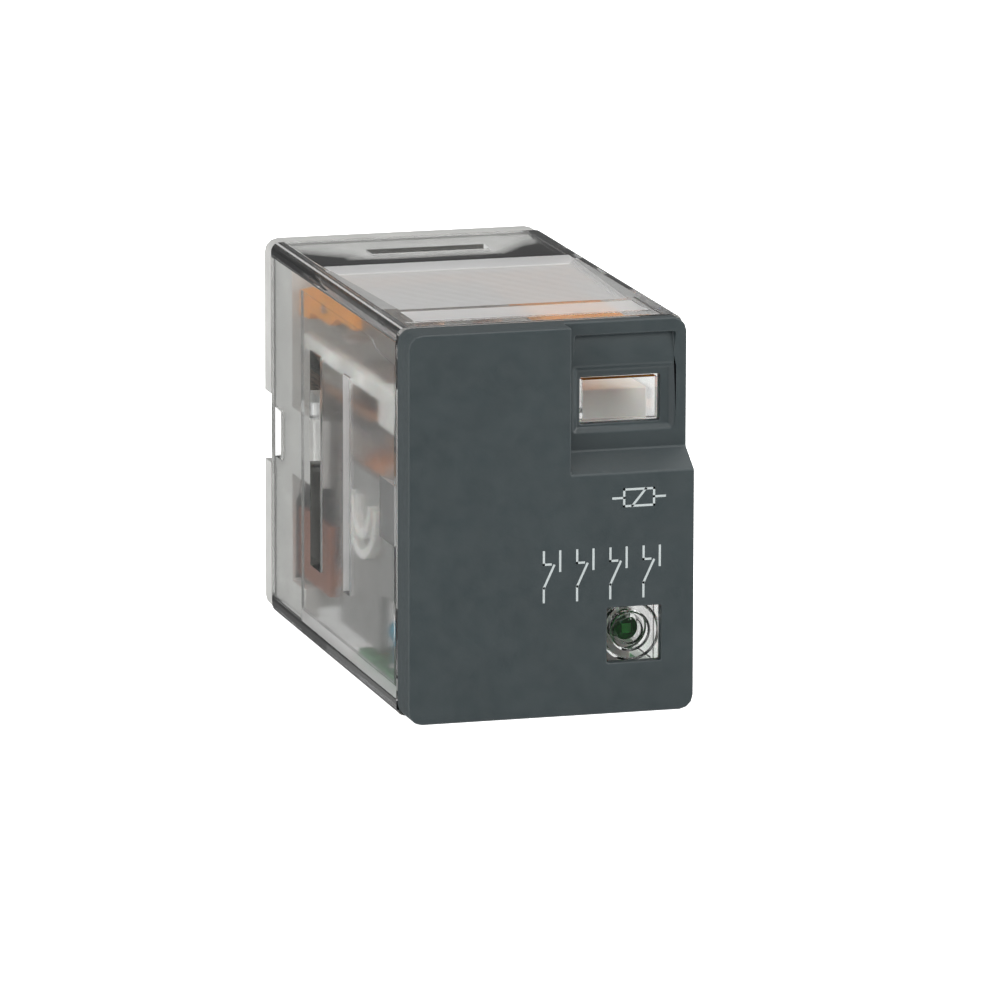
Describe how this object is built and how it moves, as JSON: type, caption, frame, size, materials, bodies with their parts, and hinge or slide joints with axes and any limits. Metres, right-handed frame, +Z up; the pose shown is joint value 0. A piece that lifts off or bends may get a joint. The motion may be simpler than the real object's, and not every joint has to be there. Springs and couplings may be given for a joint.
{
  "type": "industrial control relay",
  "caption": "Plug-in industrial control relay: clear case with dark front cap, indicator window and LED, rear blades, and a coil, hinged armature and changeover contacts inside.",
  "frame": {"origin": "middle of the base's rear seating face, where the relay meets its socket", "axes": "+Y out of the seating face along the blades, the front cap faces -Y; +Z up as the relay stands in the picture; +X to the right seen from the front"},
  "size_m": [0.021, 0.0463, 0.028],
  "materials": {
    "clear_case": "clear polycarbonate, frosted side walls, polished edges",
    "slate_plastic": "satin moulded, dark slate",
    "grey_plastic": "satin moulded, light grey",
    "white_plastic": "satin moulded, off white",
    "copper_wire": "enamelled copper",
    "braid_copper": "bare woven copper",
    "coil_tape": "pale polyester tape",
    "plated_steel": "zinc plated soft iron",
    "copper_alloy": "rolled spring alloy",
    "tinned_copper": "tinned, satin",
    "contact_silver": "silver alloy",
    "orange_plastic": "orange moulded",
    "green_lens": "dark green tinted epoxy",
    "board_laminate": "glass epoxy laminate",
    "blue_enamel": "blue lacquer",
    "black_epoxy": "moulded epoxy"
  },
  "bodies": {
    "frame": {"case": "clear_case", "front_cap": "slate_plastic", "base": "grey_plastic", "bobbin": "white_plastic", "coil_winding": "copper_wire", "coil_tape": "coil_tape", "core": "plated_steel", "yoke": "plated_steel", "hinge_spring": "copper_alloy", "indicator_pin": "plated_steel", "led_board": "board_laminate", "led_holder": "white_plastic", "led": "green_lens", "series_resistor": "blue_enamel", "diode": "black_epoxy", "nc_contact_1": "contact_silver", "no_contact_1": "contact_silver", "nc_terminal_1": "tinned_copper", "no_terminal_1": "tinned_copper", "com_terminal_1": "tinned_copper", "braid_1": "braid_copper", "nc_contact_2": "contact_silver", "no_contact_2": "contact_silver", "nc_terminal_2": "tinned_copper", "no_terminal_2": "tinned_copper", "com_terminal_2": "tinned_copper", "braid_2": "braid_copper", "nc_contact_3": "contact_silver", "no_contact_3": "contact_silver", "nc_terminal_3": "tinned_copper", "no_terminal_3": "tinned_copper", "com_terminal_3": "tinned_copper", "braid_3": "braid_copper", "nc_contact_4": "contact_silver", "no_contact_4": "contact_silver", "nc_terminal_4": "tinned_copper", "no_terminal_4": "tinned_copper", "com_terminal_4": "tinned_copper", "braid_4": "braid_copper", "coil_terminal_left": "tinned_copper", "coil_lead_left": "copper_wire", "coil_terminal_right": "tinned_copper", "coil_lead_right": "copper_wire"},
    "armature_group": {"armature": "plated_steel", "contact_carrier": "white_plastic", "moving_spring_1": "copper_alloy", "moving_spring_2": "copper_alloy", "moving_spring_3": "copper_alloy", "moving_spring_4": "copper_alloy", "moving_contact_1": "contact_silver", "moving_contact_2": "contact_silver", "moving_contact_3": "contact_silver", "moving_contact_4": "contact_silver"},
    "indicator": {"indicator_lever": "orange_plastic"}
  },
  "joints": [
    {"name": "armature_pivot", "type": "hinge", "parent": "frame", "child": "armature_group", "pos_m": [0, -0.0336, 0.0028], "axis": [1, 0, 0], "range_deg": [0, 4.5], "stiffness_Nm_per_rad": 0.02, "springref_deg": -5.73},
    {"name": "indicator_pivot", "type": "hinge", "parent": "frame", "child": "indicator", "pos_m": [0, -0.0135, 0.0111], "axis": [1, 0, 0], "range_deg": [0, 10.35]}
  ],
  "couplings": [
    {"joint": "indicator_pivot", "follows": "armature_pivot", "ratio": 2.3}
  ]
}
